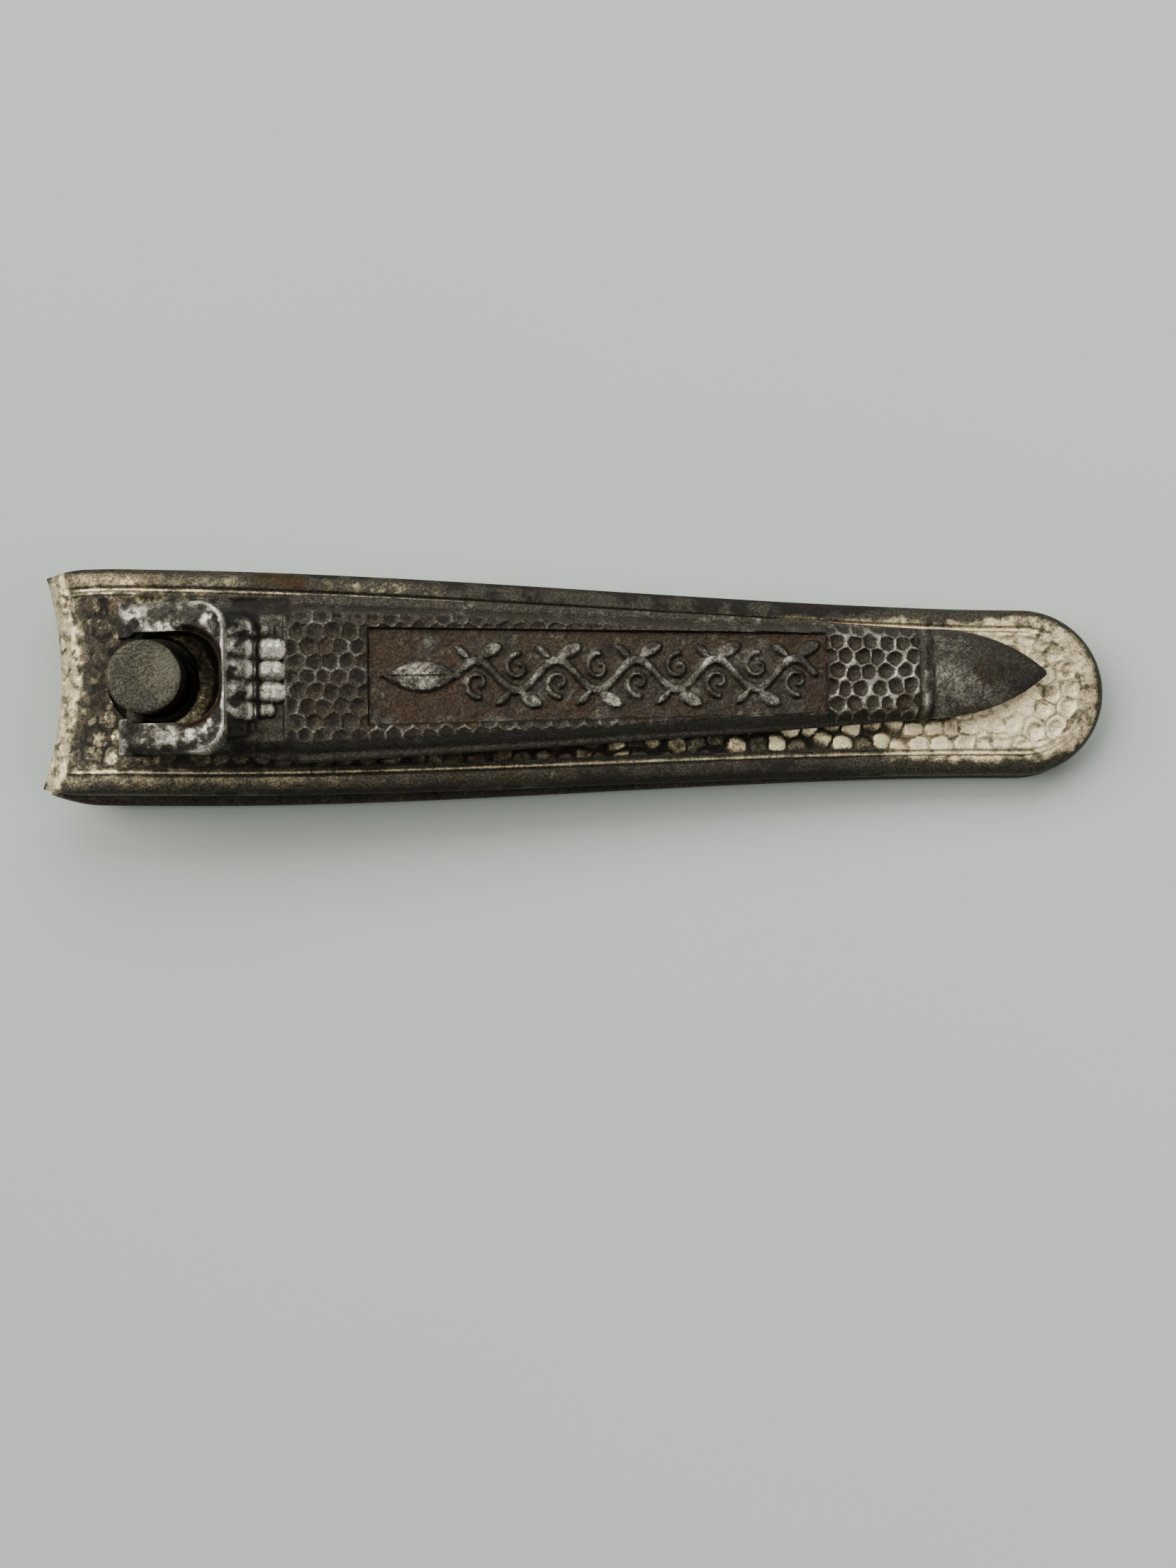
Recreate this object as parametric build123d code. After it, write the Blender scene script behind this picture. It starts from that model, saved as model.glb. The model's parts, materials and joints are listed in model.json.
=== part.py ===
from build123d import *
import os
from math import cos, radians, sin, sqrt

# Folding lever nail clipper, in millimetres. +X runs from the cutting edge to the tail, +Z is up,
# and the origin is on the resting face, at the middle of the length and width.

# Overall and strip sizes
LENGTH = 57.0
STRIP = 1.3  # thickness of both arms
TILT = 4.5  # rise of the upper arm towards the jaw, degrees
HINGE_X = 21.0  # where the upper arm leaves the lower one
FRONT_X = -LENGTH / 2
TAIL_X = LENGTH / 2

# Plan outline of the arms: half-widths
UPPER_HALF, UPPER_TAIL_HALF, UPPER_TIP_HALF = 5.95, 4.5, 5.62
LOWER_HALF, LOWER_TAIL_HALF, LOWER_TIP_HALF = 6.4, 4.62, 5.86
CORNER_LENGTH = 2.4  # of the bevel at each front corner
TAPER_START_X = -22.0

# Jaw
EDGE_SAGITTA = 0.87  # hollow of the cutting edge between its two tips
EDGE_LAND = 0.3  # width of the blunt land on the edge
JAW_DROP = 1.2  # how far each jaw bends towards the other
JAW_REACH = 4.6  # length over which it bends
BLANK_ARC = 60  # degrees turned about the edge's centre, wider than the arm

# Post and its holes, on an axis square to the upper arm
POST_X = -22.35  # where the axis crosses the upper arm's top
POST_R = 1.9
POST_RISE = 2.9  # above the upper arm
POST_HEAD_R, POST_HEAD_T = 2.8, 0.45
RUNNING = 0.05  # radial clearance of a turning fit
ARM_HOLE_R = 2.37
BOSS_R, BOSS_RISE = 4.0, 0.75  # raised cup in the lower arm round the post

# Lever pin, placed from the post axis and the upper arm's top
PIN_U, PIN_N, PIN_R, PIN_HALF = -0.65, 1.0, 0.5, 3.8

# Lever: stations along it (u), heights above the arm (n) and half-widths
SWIVEL = 1.2  # how far it lies turned on the post, degrees
EAR_R = 0.9
LEVER_UNDER = 0.3
CREST_U, CREST_N = 4.14, 3.45
GROOVE_U, GROOVE_N = 5.55, 1.9
CROWN_END_U, CROWN_N = 7.0, 2.3
BODY_N, BODY_END_N = 2.0, 1.75
BLOCK_END_U, RING_END_U, TIP_U = 40.5, 41.2, 47.6
RING_N = 1.9
TIP_UNDER_N, TIP_N = 0.62, 0.95
FORK_HALF, LEVER_HALF, LEVER_END_HALF = 3.93, 4.4, 2.4
SHOULDER = 0.8  # width of the flange beside the raised box
FLANGE_N = 1.1
SHEET = 0.8  # wall of the hollow lever
WINDOW_HALF, WINDOW_END_U, WINDOW_CORNER = 2.35, 3.78, 1.2

# Tail rivet
RIVET_R, RIVET_HEAD_R, RIVET_HEAD_T = 0.7, 1.1, 0.35
RIVET_CLEAR = 0.12  # in the upper arm, which rocks a little on it


def jaw_profile(edge_r, end_r):
    """Side section of an arm that bends up at the jaw: (radius from the edge's centre, height)."""
    bend_r = edge_r + JAW_REACH
    edge_z = STRIP + JAW_DROP
    outer_r = (JAW_REACH**2 + (edge_z - EDGE_LAND / 2) ** 2) / (2 * (edge_z - EDGE_LAND / 2))
    inner_reach = JAW_REACH - EDGE_LAND
    inner_r = (inner_reach**2 + JAW_DROP**2) / (2 * JAW_DROP)
    with BuildSketch(Plane.XZ) as section:
        with BuildLine():
            outer = RadiusArc((bend_r, 0), (edge_r, edge_z - EDGE_LAND / 2), outer_r)
            Line(outer @ 1, (edge_r + EDGE_LAND, edge_z))
            inner = RadiusArc((edge_r + EDGE_LAND, edge_z), (bend_r, STRIP), -inner_r)
            Polyline(inner @ 1, (end_r, STRIP), (end_r, 0), (bend_r, 0))
        make_face()
    return section.sketch


def edge_radius(tip_half):
    """Radius of the concave cutting edge, from its sagitta and half chord."""
    return (tip_half**2 + EDGE_SAGITTA**2) / (2 * EDGE_SAGITTA)


def turned_blank(tip_half, tip_x, end_x):
    """A flat strip with its jaw bent up along the concave edge; the edge's tips are at tip_x."""
    edge_r = edge_radius(tip_half)
    centre_x = tip_x - sqrt(edge_r**2 - tip_half**2)
    section = jaw_profile(edge_r, end_x - centre_x)
    blank = revolve(section, Axis.Z, BLANK_ARC).rotate(Axis.Z, -BLANK_ARC / 2)
    return Pos(centre_x, 0, 0) * blank


def outline(half, tail_half, tip_half):
    """Plan outline of an arm as a face, running past the cutting edge at the front."""
    corner_x = FRONT_X + CORNER_LENGTH
    tail_centre = TAIL_X - tail_half
    span = tail_centre - TAPER_START_X
    ahead = 2.0
    slope = (half - tip_half) / (0.5 * CORNER_LENGTH)
    with BuildSketch() as plan:
        with BuildLine():
            front = Line((FRONT_X - ahead, 0), (FRONT_X - ahead, tip_half - slope * ahead))
            bevel = Line(front @ 1, (FRONT_X, tip_half))
            corner = Bezier(bevel @ 1, (FRONT_X + 0.5 * CORNER_LENGTH, half), (corner_x, half))
            side = Line(corner @ 1, (TAPER_START_X, half))
            taper = Bezier(
                side @ 1,
                (TAPER_START_X + span / 3, half),
                (tail_centre - span / 3, tail_half),
                (tail_centre, tail_half),
            )
            RadiusArc(taper @ 1, (TAIL_X, 0), tail_half)
            mirror(about=Plane.XZ)
        make_face()
    return plan.sketch


def prism(face, low, high):
    """A face in plan, as a solid from one height to another."""
    return Pos(0, 0, low) * extrude(face, high - low)


def post_place():
    """Frame of the post: origin on its axis at the upper arm's top, Z along the post."""
    along = (HINGE_X - POST_X + STRIP * sin(radians(TILT))) / cos(radians(TILT))
    height = STRIP + along * sin(radians(TILT)) + STRIP * cos(radians(TILT))
    return Pos(POST_X, 0, height) * Rot(0, TILT, 0)


def rod(radius, low, high):
    """A cylinder on the Z axis between two heights."""
    return Pos(0, 0, (low + high) / 2) * Cylinder(radius, high - low)


def head_level():
    """Height of the post head's under face on the post axis, clear of the resting face."""
    foot = post_place().position
    lowest = 0.03 + POST_HEAD_R * sin(radians(TILT))
    return -(foot.Z - lowest) / cos(radians(TILT))


def tail_rivet():
    """Rivet through both arms, its heads flush with their outer faces."""
    top = 2 * STRIP
    shank = rod(RIVET_R, 0, top)
    heads = rod(RIVET_HEAD_R, top - RIVET_HEAD_T, top) + rod(RIVET_HEAD_R, 0, RIVET_HEAD_T)
    return Pos(HINGE_X, 0, 0) * (shank + heads)


def rivet_clearance():
    """Stepped hole in the upper arm, open above, with room for the rivet as the arm rocks."""
    top = 2 * STRIP
    shank = rod(RIVET_R + RIVET_CLEAR, 0, top)
    head = rod(RIVET_HEAD_R + RIVET_CLEAR, top - RIVET_HEAD_T - RIVET_CLEAR / 2, top + 1)
    return Pos(HINGE_X, 0, 0) * (shank + head)


def lower_arm():
    """Lower arm: flat on the table, jaw bent up, with a cup for the post's head."""
    blank = turned_blank(LOWER_TIP_HALF, FRONT_X, TAIL_X + 1)
    arm = blank & prism(outline(LOWER_HALF, LOWER_TAIL_HALF, LOWER_TIP_HALF), -1, 5)
    place = post_place()
    under = head_level()
    bottom = under + POST_HEAD_T + RUNNING
    boss = place * Pos(0, 0, bottom) * Cone(BOSS_R, BOSS_R - BOSS_RISE, 2 * BOSS_RISE)
    arm = arm + (boss & prism(outline(LOWER_HALF, LOWER_TAIL_HALF, LOWER_TIP_HALF), STRIP / 2, 5))
    arm = arm - place * rod(POST_R + RUNNING, -9, 0)
    arm = arm - place * rod(POST_HEAD_R + RUNNING, under - 2, bottom)
    return arm - tail_rivet()


def upper_arm():
    """Upper arm: flat on the lower one behind the hinge line, then rising to the jaw."""
    tip_local = (FRONT_X - HINGE_X + JAW_DROP * sin(radians(TILT))) / cos(radians(TILT))
    blank = turned_blank(UPPER_TIP_HALF, tip_local, 1.0)
    flipped = Pos(0, 0, STRIP) * (mirror(blank, Plane.XY))
    rising = Pos(HINGE_X, 0, STRIP) * Rot(0, TILT, 0) * flipped
    above = Pos(0, 0, STRIP + 5) * Box(90, 20, 10)
    jaw_zone = Pos(FRONT_X, 0, 5) * Box(12, 20, 20)
    rising = (rising & above) + (rising & jaw_zone)
    tail = Pos((HINGE_X + TAIL_X + 1) / 2, 0, 1.5 * STRIP) * Box(TAIL_X + 1 - HINGE_X, 20, STRIP)
    arm = (rising + tail) & prism(outline(UPPER_HALF, UPPER_TAIL_HALF, UPPER_TIP_HALF), -1, 12)
    arm = arm - post_place() * rod(ARM_HOLE_R, -3, 2)
    return arm - rivet_clearance()


def pin_place():
    """Frame of the lever pin: on the post's frame turned with the lever, Z along the pin."""
    return post_place() * Rot(0, 0, SWIVEL) * Pos(PIN_U, 0, PIN_N) * Rot(90, 0, 0)


def post():
    """Post with its head under the lower arm and the cross hole for the pin."""
    under = head_level()
    top = POST_RISE
    edge = 0.15
    body = rod(POST_R, under, top - edge) + Pos(0, 0, top - edge / 2) * Cone(POST_R, POST_R - edge, edge)
    body = body + rod(POST_HEAD_R, under, under + POST_HEAD_T)
    return post_place() * body - pin_place() * rod(PIN_R, -5, 5)


def lever_pin():
    return pin_place() * rod(PIN_R, -PIN_HALF, PIN_HALF)


def lever_side():
    """Side silhouette of the lever as a face in its own X-Z plane."""
    ear_top = (PIN_U, PIN_N + EAR_R)
    ear_front = (PIN_U - EAR_R, PIN_N)
    ear_foot = (PIN_U, PIN_N - EAR_R)
    with BuildSketch(Plane.XZ) as side:
        with BuildLine():
            ThreePointArc(ear_foot, ear_front, ear_top)
            Polyline(
                ear_top,
                (CREST_U - 0.25, CREST_N),
                (CREST_U + 0.2, CREST_N),
                (GROOVE_U, GROOVE_N),
                (GROOVE_U + 0.3, CROWN_N),
                (CROWN_END_U - 0.3, CROWN_N),
                (CROWN_END_U, BODY_N),
                (BLOCK_END_U, BODY_END_N),
                (BLOCK_END_U, RING_N),
                (RING_END_U, RING_N),
            )
            Bezier((RING_END_U, RING_N), (TIP_U - 2, RING_N - 0.1), (TIP_U, TIP_N))
            Polyline(
                (TIP_U, TIP_N),
                (TIP_U, TIP_UNDER_N),
                (RING_END_U, LEVER_UNDER),
                (PIN_U + EAR_R, LEVER_UNDER),
                ear_foot,
            )
        make_face()
    return side.sketch


def lever_plan(inset, end_u):
    """Plan outline of the lever, drawn in by inset, as a face that ends at end_u or at the tip."""
    body_u = CROWN_END_U + 1
    mid_u = (body_u + RING_END_U) / 2
    mid_half = (LEVER_HALF + LEVER_END_HALF) / 2 + 0.2
    with BuildSketch() as plan:
        with BuildLine():
            front = Line((PIN_U - EAR_R - 1, 0), (PIN_U - EAR_R - 1, FORK_HALF - inset))
            fork = Line(front @ 1, (CREST_U, FORK_HALF - inset))
            flare = Line(fork @ 1, (body_u, LEVER_HALF - inset))
            body = Bezier(flare @ 1, (mid_u, mid_half - inset), (RING_END_U, LEVER_END_HALF - inset))
            if end_u < TIP_U:
                Polyline(body @ 1, (end_u, LEVER_END_HALF - inset), (end_u, 0))
            else:
                tip = Bezier(
                    body @ 1,
                    (TIP_U - 3, LEVER_END_HALF - inset),
                    (TIP_U - 1, 1.0),
                    (TIP_U, 0.15),
                )
                Line(tip @ 1, (TIP_U, 0))
            mirror(about=Plane.XZ)
        make_face()
    return plan.sketch


def lever():
    """Stamped lever: fork, crest, flanged box and pointed tip, hollow underneath."""
    side = extrude(lever_side(), 6, both=True)
    flange = side & prism(lever_plan(0, TIP_U), 0, FLANGE_N)
    box = side & prism(lever_plan(SHOULDER, RING_END_U), 0, CREST_N + 1)
    fork_zone = Pos(CREST_U / 2, 0, 2) * Box(CREST_U + 2 * EAR_R + 5, 12, 6)
    tip_zone = Pos((RING_END_U + TIP_U) / 2, 0, 2) * Box(TIP_U - RING_END_U, 12, 6)
    full = side & prism(lever_plan(0, TIP_U), 0, CREST_N + 1)
    body = flange + box + (full & fork_zone) + (full & tip_zone)
    hollow_end = BLOCK_END_U - 1
    hollow_start = CROWN_END_U - 0.5
    cavity = prism(lever_plan(SHOULDER + SHEET / 2, hollow_end), -1, BODY_END_N - SHEET)
    cavity = cavity & Pos((hollow_start + hollow_end) / 2, 0, 0) * Box(hollow_end - hollow_start, 12, 6)
    body = body - cavity
    window_length = 8.0
    window = Pos(WINDOW_END_U - window_length / 2, 0, 0) * RectangleRounded(
        window_length, 2 * WINDOW_HALF, WINDOW_CORNER
    )
    body = body - extrude(window, 8, both=True)
    place = post_place() * Rot(0, 0, SWIVEL)
    return place * body - pin_place() * rod(PIN_R + RUNNING / 2, -6, 6)


os.makedirs("parts", exist_ok=True)
for make in (lower_arm, upper_arm, post, lever_pin, lever, tail_rivet):
    export_step(make(), f"parts/{make.__name__}.step")
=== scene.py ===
import json
import math

import bmesh
import bpy
import numpy as np
from mathutils import Matrix, Vector


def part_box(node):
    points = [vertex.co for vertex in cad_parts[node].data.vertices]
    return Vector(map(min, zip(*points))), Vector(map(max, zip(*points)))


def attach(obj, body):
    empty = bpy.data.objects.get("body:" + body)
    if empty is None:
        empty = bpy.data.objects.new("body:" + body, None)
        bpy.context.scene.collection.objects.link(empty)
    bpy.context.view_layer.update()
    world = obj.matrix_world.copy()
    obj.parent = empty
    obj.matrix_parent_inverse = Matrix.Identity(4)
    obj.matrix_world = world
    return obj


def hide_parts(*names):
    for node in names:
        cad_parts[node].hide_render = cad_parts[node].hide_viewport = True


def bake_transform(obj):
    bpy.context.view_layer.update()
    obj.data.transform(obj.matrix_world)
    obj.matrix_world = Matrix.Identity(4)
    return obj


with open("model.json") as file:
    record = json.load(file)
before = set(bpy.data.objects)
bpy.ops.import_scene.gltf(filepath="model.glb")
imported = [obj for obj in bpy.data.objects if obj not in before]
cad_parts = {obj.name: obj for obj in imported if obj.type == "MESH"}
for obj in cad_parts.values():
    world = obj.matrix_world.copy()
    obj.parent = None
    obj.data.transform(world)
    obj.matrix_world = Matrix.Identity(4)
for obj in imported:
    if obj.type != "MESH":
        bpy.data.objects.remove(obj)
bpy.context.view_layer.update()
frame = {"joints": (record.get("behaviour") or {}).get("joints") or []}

# Everything below is worked out in millimetres in the part's own frame: +X from the cutting edge to
# the tail, +Z up from the table. Meshes are turned into metres when they are made.
MM = 0.001


def joint(name):
    return next(j for j in frame["joints"] if j["name"] == name)


# Driving dimensions, the same as the part's own. x, y, z are the part's axes; u, v, n are the lever's:
# u back from the post's axis, v across and n up from the upper arm's top. On an arm, q is the distance
# back from the cutting edge and d the distance in from the outline.
ARM_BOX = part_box("lower_arm")
FRONT_X, TAIL_X = ARM_BOX[0][0] / MM, ARM_BOX[1][0] / MM
STRIP = 1.3
TILT = math.atan2(joint("post_swivel")["axis"][0], joint("post_swivel")["axis"][2])
HINGE_X = joint("jaw_close")["pos_m"][0] / MM
POST_AT = Vector(joint("post_swivel")["pos_m"]) / MM
SWIVEL = math.asin(abs(Vector(joint("lever_flip")["axis"]).x))
EDGE_SAGITTA, EDGE_LAND = 0.87, 0.3
JAW_DROP, JAW_REACH = 1.2, 4.6
CORNER_LENGTH, TAPER_START_X = 2.4, -22.0
ARM_HOLE_R, POST_R, POST_RISE = 2.37, 1.9, 2.9
POST_HEAD_R, POST_HEAD_T = 2.8, 0.45
POST_UNDER_N = -(POST_AT.z - 0.03 - POST_HEAD_R * math.sin(TILT)) / math.cos(TILT)
PIN_U, PIN_N, PIN_R, PIN_HALF = -0.65, 1.0, 0.5, 3.8
EAR_R = 0.9
FORK_HALF, BODY_HALF, NECK_HALF = 3.93, 4.4, 2.4
CREST_U, CREST_N = 4.14, 3.45
BLOCK_HALF, BLOCK_CORNER = 3.9, 1.5
CROWN_U, BODY_U = 5.55, 7.0
PANEL_U, PANEL_END_U = 11.25, 35.5
BLOCK_END_U, RING_END_U, TIP_U = 40.5, 41.2, 47.6
WINDOW_HALF, WINDOW_END_U, WINDOW_CORNER = 2.35, 3.78, 1.9
RIVET_R, RIVET_HEAD_R, RIVET_HEAD_T = 0.7, 1.1, 0.35
POST_GAP, RIVET_GAP, PIN_GAP = 0.05, 0.12, 0.025
# From the frames of the post, the lever, the cross pin (its length along Z) and the rivet to the part's
POST_PLACE = Matrix.Translation(POST_AT) @ Matrix.Rotation(TILT, 4, "Y")
LEVER_PLACE = POST_PLACE @ Matrix.Rotation(SWIVEL, 4, "Z")
PIN_PLACE = LEVER_PLACE @ Matrix.Translation((PIN_U, 0, PIN_N)) @ Matrix.Rotation(math.pi / 2, 4, "X")
RIVET_PLACE = Matrix.Translation((HINGE_X, 0, 0))
WELD = 0.0005
SHARP_ANGLE = 40


# ---- helpers: shapes and noise
def ease(low, high, x):
    """0 below low, 1 above high, smooth between."""
    t = np.clip((x - low) / (high - low), 0, 1)
    return t * t * (3 - 2 * t)


def hump(x, centre, reach):
    """1 at centre, smoothly down to 0 at a distance of reach."""
    return ease(0, 1, 1 - np.abs(x - centre) / reach)


def lattice(column, row, seed):
    """A repeatable random number from 0 to 1 for each grid point."""
    h = column.astype(np.int64) * 374761393 + row.astype(np.int64) * 668265263 + seed * 974711
    h = h & 0xFFFFFFFF
    h = ((h ^ (h >> 13)) * 1274126177) & 0xFFFFFFFF
    return ((h ^ (h >> 16)) & 0xFFFFFF) / 0xFFFFFF


def noise(x, y, size, seed):
    """Smooth noise from -1 to 1 with features of about this size."""
    gx, gy = x / size, y / size
    column, row = np.floor(gx), np.floor(gy)
    sx, sy = ease(0, 1, gx - column), ease(0, 1, gy - row)
    left = lattice(column, row, seed) * (1 - sy) + lattice(column, row + 1, seed) * sy
    right = lattice(column + 1, row, seed) * (1 - sy) + lattice(column + 1, row + 1, seed) * sy
    return 2 * (left * (1 - sx) + right * sx) - 1


def fractal(x, y, size, seed, octaves=3):
    """Noise in several sizes, each half the one before and turned."""
    total = 0
    for k in range(octaves):
        turn = 0.6 + 1.9 * k
        along = x * math.cos(turn) - y * math.sin(turn)
        across = x * math.sin(turn) + y * math.cos(turn)
        total += noise(along, across, size / 2**k, seed + k) / 2**k
    return total / 1.6


def cells(x, y, pitch, jitter, seed):
    """Uneven honeycomb: distances to the nearest and the next centre in pitches, and a number per cell."""
    row_gap = 0.866 * pitch
    nearest = np.full(np.shape(x), 9.0)
    second = nearest.copy()
    pick = nearest.copy()
    for row_step in (-1, 0, 1):
        row = np.round(y / row_gap) + row_step
        shift = 0.5 * (row % 2)
        for column_step in (-1, 0, 1):
            column = np.round(x / pitch - shift) + column_step
            cx = (column + shift + jitter * (lattice(column, row, seed) - 0.5)) * pitch
            cy = row * row_gap + jitter * (lattice(column, row, seed + 1) - 0.5) * pitch
            d = np.hypot(x - cx, y - cy) / pitch
            closer = d < nearest
            second = np.where(closer, nearest, np.minimum(second, d))
            pick = np.where(closer, lattice(column, row, seed + 2), pick)
            nearest = np.minimum(nearest, d)
    return nearest, second, pick

def rounding(distance, radius):
    """How far a rounded edge has dropped: 1 at the edge, 0 from a radius in."""
    return 1 - np.sqrt(1 - (1 - np.clip(distance / radius, 0, 1)) ** 2)


def bezier(t, *stops):
    """Value at t, 0 to 1, of a Bezier curve."""
    last = len(stops) - 1
    return sum(math.comb(last, k) * s * (1 - t) ** (last - k) * t**k for k, s in enumerate(stops))


# ---- helpers: meshes
def add_object(name, data):
    item = bpy.data.objects.new(name, data)
    bpy.context.scene.collection.objects.link(item)
    return item


def new_object(name, vertices, faces, weld=False):
    """A mesh object from points in millimetres."""
    mesh = bpy.data.meshes.new(name)
    mesh.from_pydata((np.asarray(vertices) * MM).tolist(), [], np.asarray(faces).tolist())
    if weld:
        b = bmesh.new()
        b.from_mesh(mesh)
        bmesh.ops.remove_doubles(b, verts=b.verts, dist=WELD * MM)
        bmesh.ops.recalc_face_normals(b, faces=b.faces)
        b.to_mesh(mesh)
        b.free()
    mesh.update()
    return add_object(name, mesh)


def object_from(name, b, place):
    """A mesh object from a bmesh in millimetres, which is moved by place and freed."""
    bmesh.ops.recalc_face_normals(b, faces=b.faces)
    b.transform(Matrix.Scale(MM, 4) @ place)
    mesh = bpy.data.meshes.new(name)
    b.to_mesh(mesh)
    b.free()
    return add_object(name, mesh)


def sheet_solid(name, top, bottom, end_wall=False):
    """A closed shell between two grids that share their layout; each is x, y and z as [row, column]."""
    rows, columns = top[0].shape
    index = np.arange(rows * columns).reshape(rows, columns)
    under = index + rows * columns

    def quads(a, b, c, d):
        return np.stack([a.ravel(), b.ravel(), c.ravel(), d.ravel()], 1)

    faces = [
        quads(index[:-1, :-1], index[1:, :-1], index[1:, 1:], index[:-1, 1:]),
        quads(under[:-1, :-1], under[:-1, 1:], under[1:, 1:], under[1:, :-1]),
    ]
    walls = [(index[:, 0], under[:, 0]), (under[:, -1], index[:, -1]), (under[0], index[0])]
    if end_wall:
        walls.append((index[-1], under[-1]))
    for a, b in walls:
        faces.append(quads(a[:-1], b[:-1], b[1:], a[1:]))
    points = np.concatenate([np.stack(grid, 2).reshape(-1, 3) for grid in (top, bottom)])
    return new_object(name, points, np.concatenate(faces), weld=True)


def lathe(name, profile, segments, place):
    """A turned solid: profile is (radius, height) from the axis at one end to the axis at the other."""
    angles = np.arange(segments) * 2 * math.pi / segments
    points = [(0, 0, profile[0][1])]
    for radius, height in profile[1:-1]:
        points += [(radius * math.cos(a), radius * math.sin(a), height) for a in angles]
    points.append((0, 0, profile[-1][1]))
    b = bmesh.new()
    made = [b.verts.new(p) for p in points]
    rings = [made[1 + k * segments : 1 + (k + 1) * segments] for k in range(len(profile) - 2)]
    for k in range(segments):
        follow = (k + 1) % segments
        b.faces.new((made[0], rings[0][follow], rings[0][k]))
        b.faces.new((made[-1], rings[-1][k], rings[-1][follow]))
        for low, high in zip(rings, rings[1:]):
            b.faces.new((low[k], low[follow], high[follow], high[k]))
    return object_from(name, b, place)


def carve(item, cutter, operation="DIFFERENCE"):
    """Cuts the cutter from the item, or joins it, and removes the cutter."""
    change = item.modifiers.new("carve", "BOOLEAN")
    change.operation = operation
    change.solver = "MANIFOLD"
    change.object = cutter
    carved = bpy.data.meshes.new_from_object(item.evaluated_get(bpy.context.evaluated_depsgraph_get()))
    item.modifiers.clear()
    item.data = carved
    bpy.data.objects.remove(cutter)


def points_of(item):
    """The item's points in millimetres."""
    found = np.zeros(3 * len(item.data.vertices))
    item.data.vertices.foreach_get("co", found)
    return found.reshape(-1, 3) / MM


def paint(item, wear_and_light, grime_and_shade, rust, scratch=None):
    """Stores how bare, dirty, rusty and scratched the surface is at each point, for the materials; the bare
    and dirty parts also hold painted highlights and painted shade.
    """
    scratch = np.zeros_like(wear_and_light) if scratch is None else scratch
    tone = np.stack([wear_and_light, grime_and_shade, rust, scratch], 1)
    layer = item.data.attributes.new("tone", "FLOAT_COLOR", "POINT")
    layer.data.foreach_set("color", np.clip(tone, 0, 1).ravel())


def smooth_shade(item):
    item.data.polygons.foreach_set("use_smooth", [True] * len(item.data.polygons))
    item.data.set_sharp_from_angle(angle=math.radians(SHARP_ANGLE))
    item.data.update()


def transform(points, matrix):
    m = np.array(matrix)
    return points @ m[:3, :3].T + m[:3, 3]


# ---- the two arms
BAND = 1.7  # width of the rim strip whose grid lines follow the outline
RIM_A, RIM_B = 0.85, 0.62  # width and drop of the rounded rim
INNER_EDGE = 0.25  # the same for the inner face's edge
BORDER = 1.12  # distance of the engraved double line from the outline
BEND = 1.2  # the upper arm's bend reaches this far on each side of the hinge
SHALLOW = 17, 22  # x between which the hammer marks turn into shallow dishes
UPPER_SEED, LOWER_SEED = 11, 71  # of the hammer marks
RUST_X = -16.2  # middle of the rusty patch on the far rim


def jaw_arc(q, reach, rise):
    """Rise at q of an arc that starts level, JAW_REACH back from the edge."""
    r = (reach**2 + rise**2) / (2 * rise)
    return r - np.sqrt(r**2 - np.clip(JAW_REACH - q, 0, reach) ** 2)


def outer_face(q):
    return jaw_arc(q, JAW_REACH, STRIP + JAW_DROP - EDGE_LAND / 2)


def inner_face(q):
    return STRIP + jaw_arc(q, JAW_REACH - EDGE_LAND, JAW_DROP)


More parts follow.
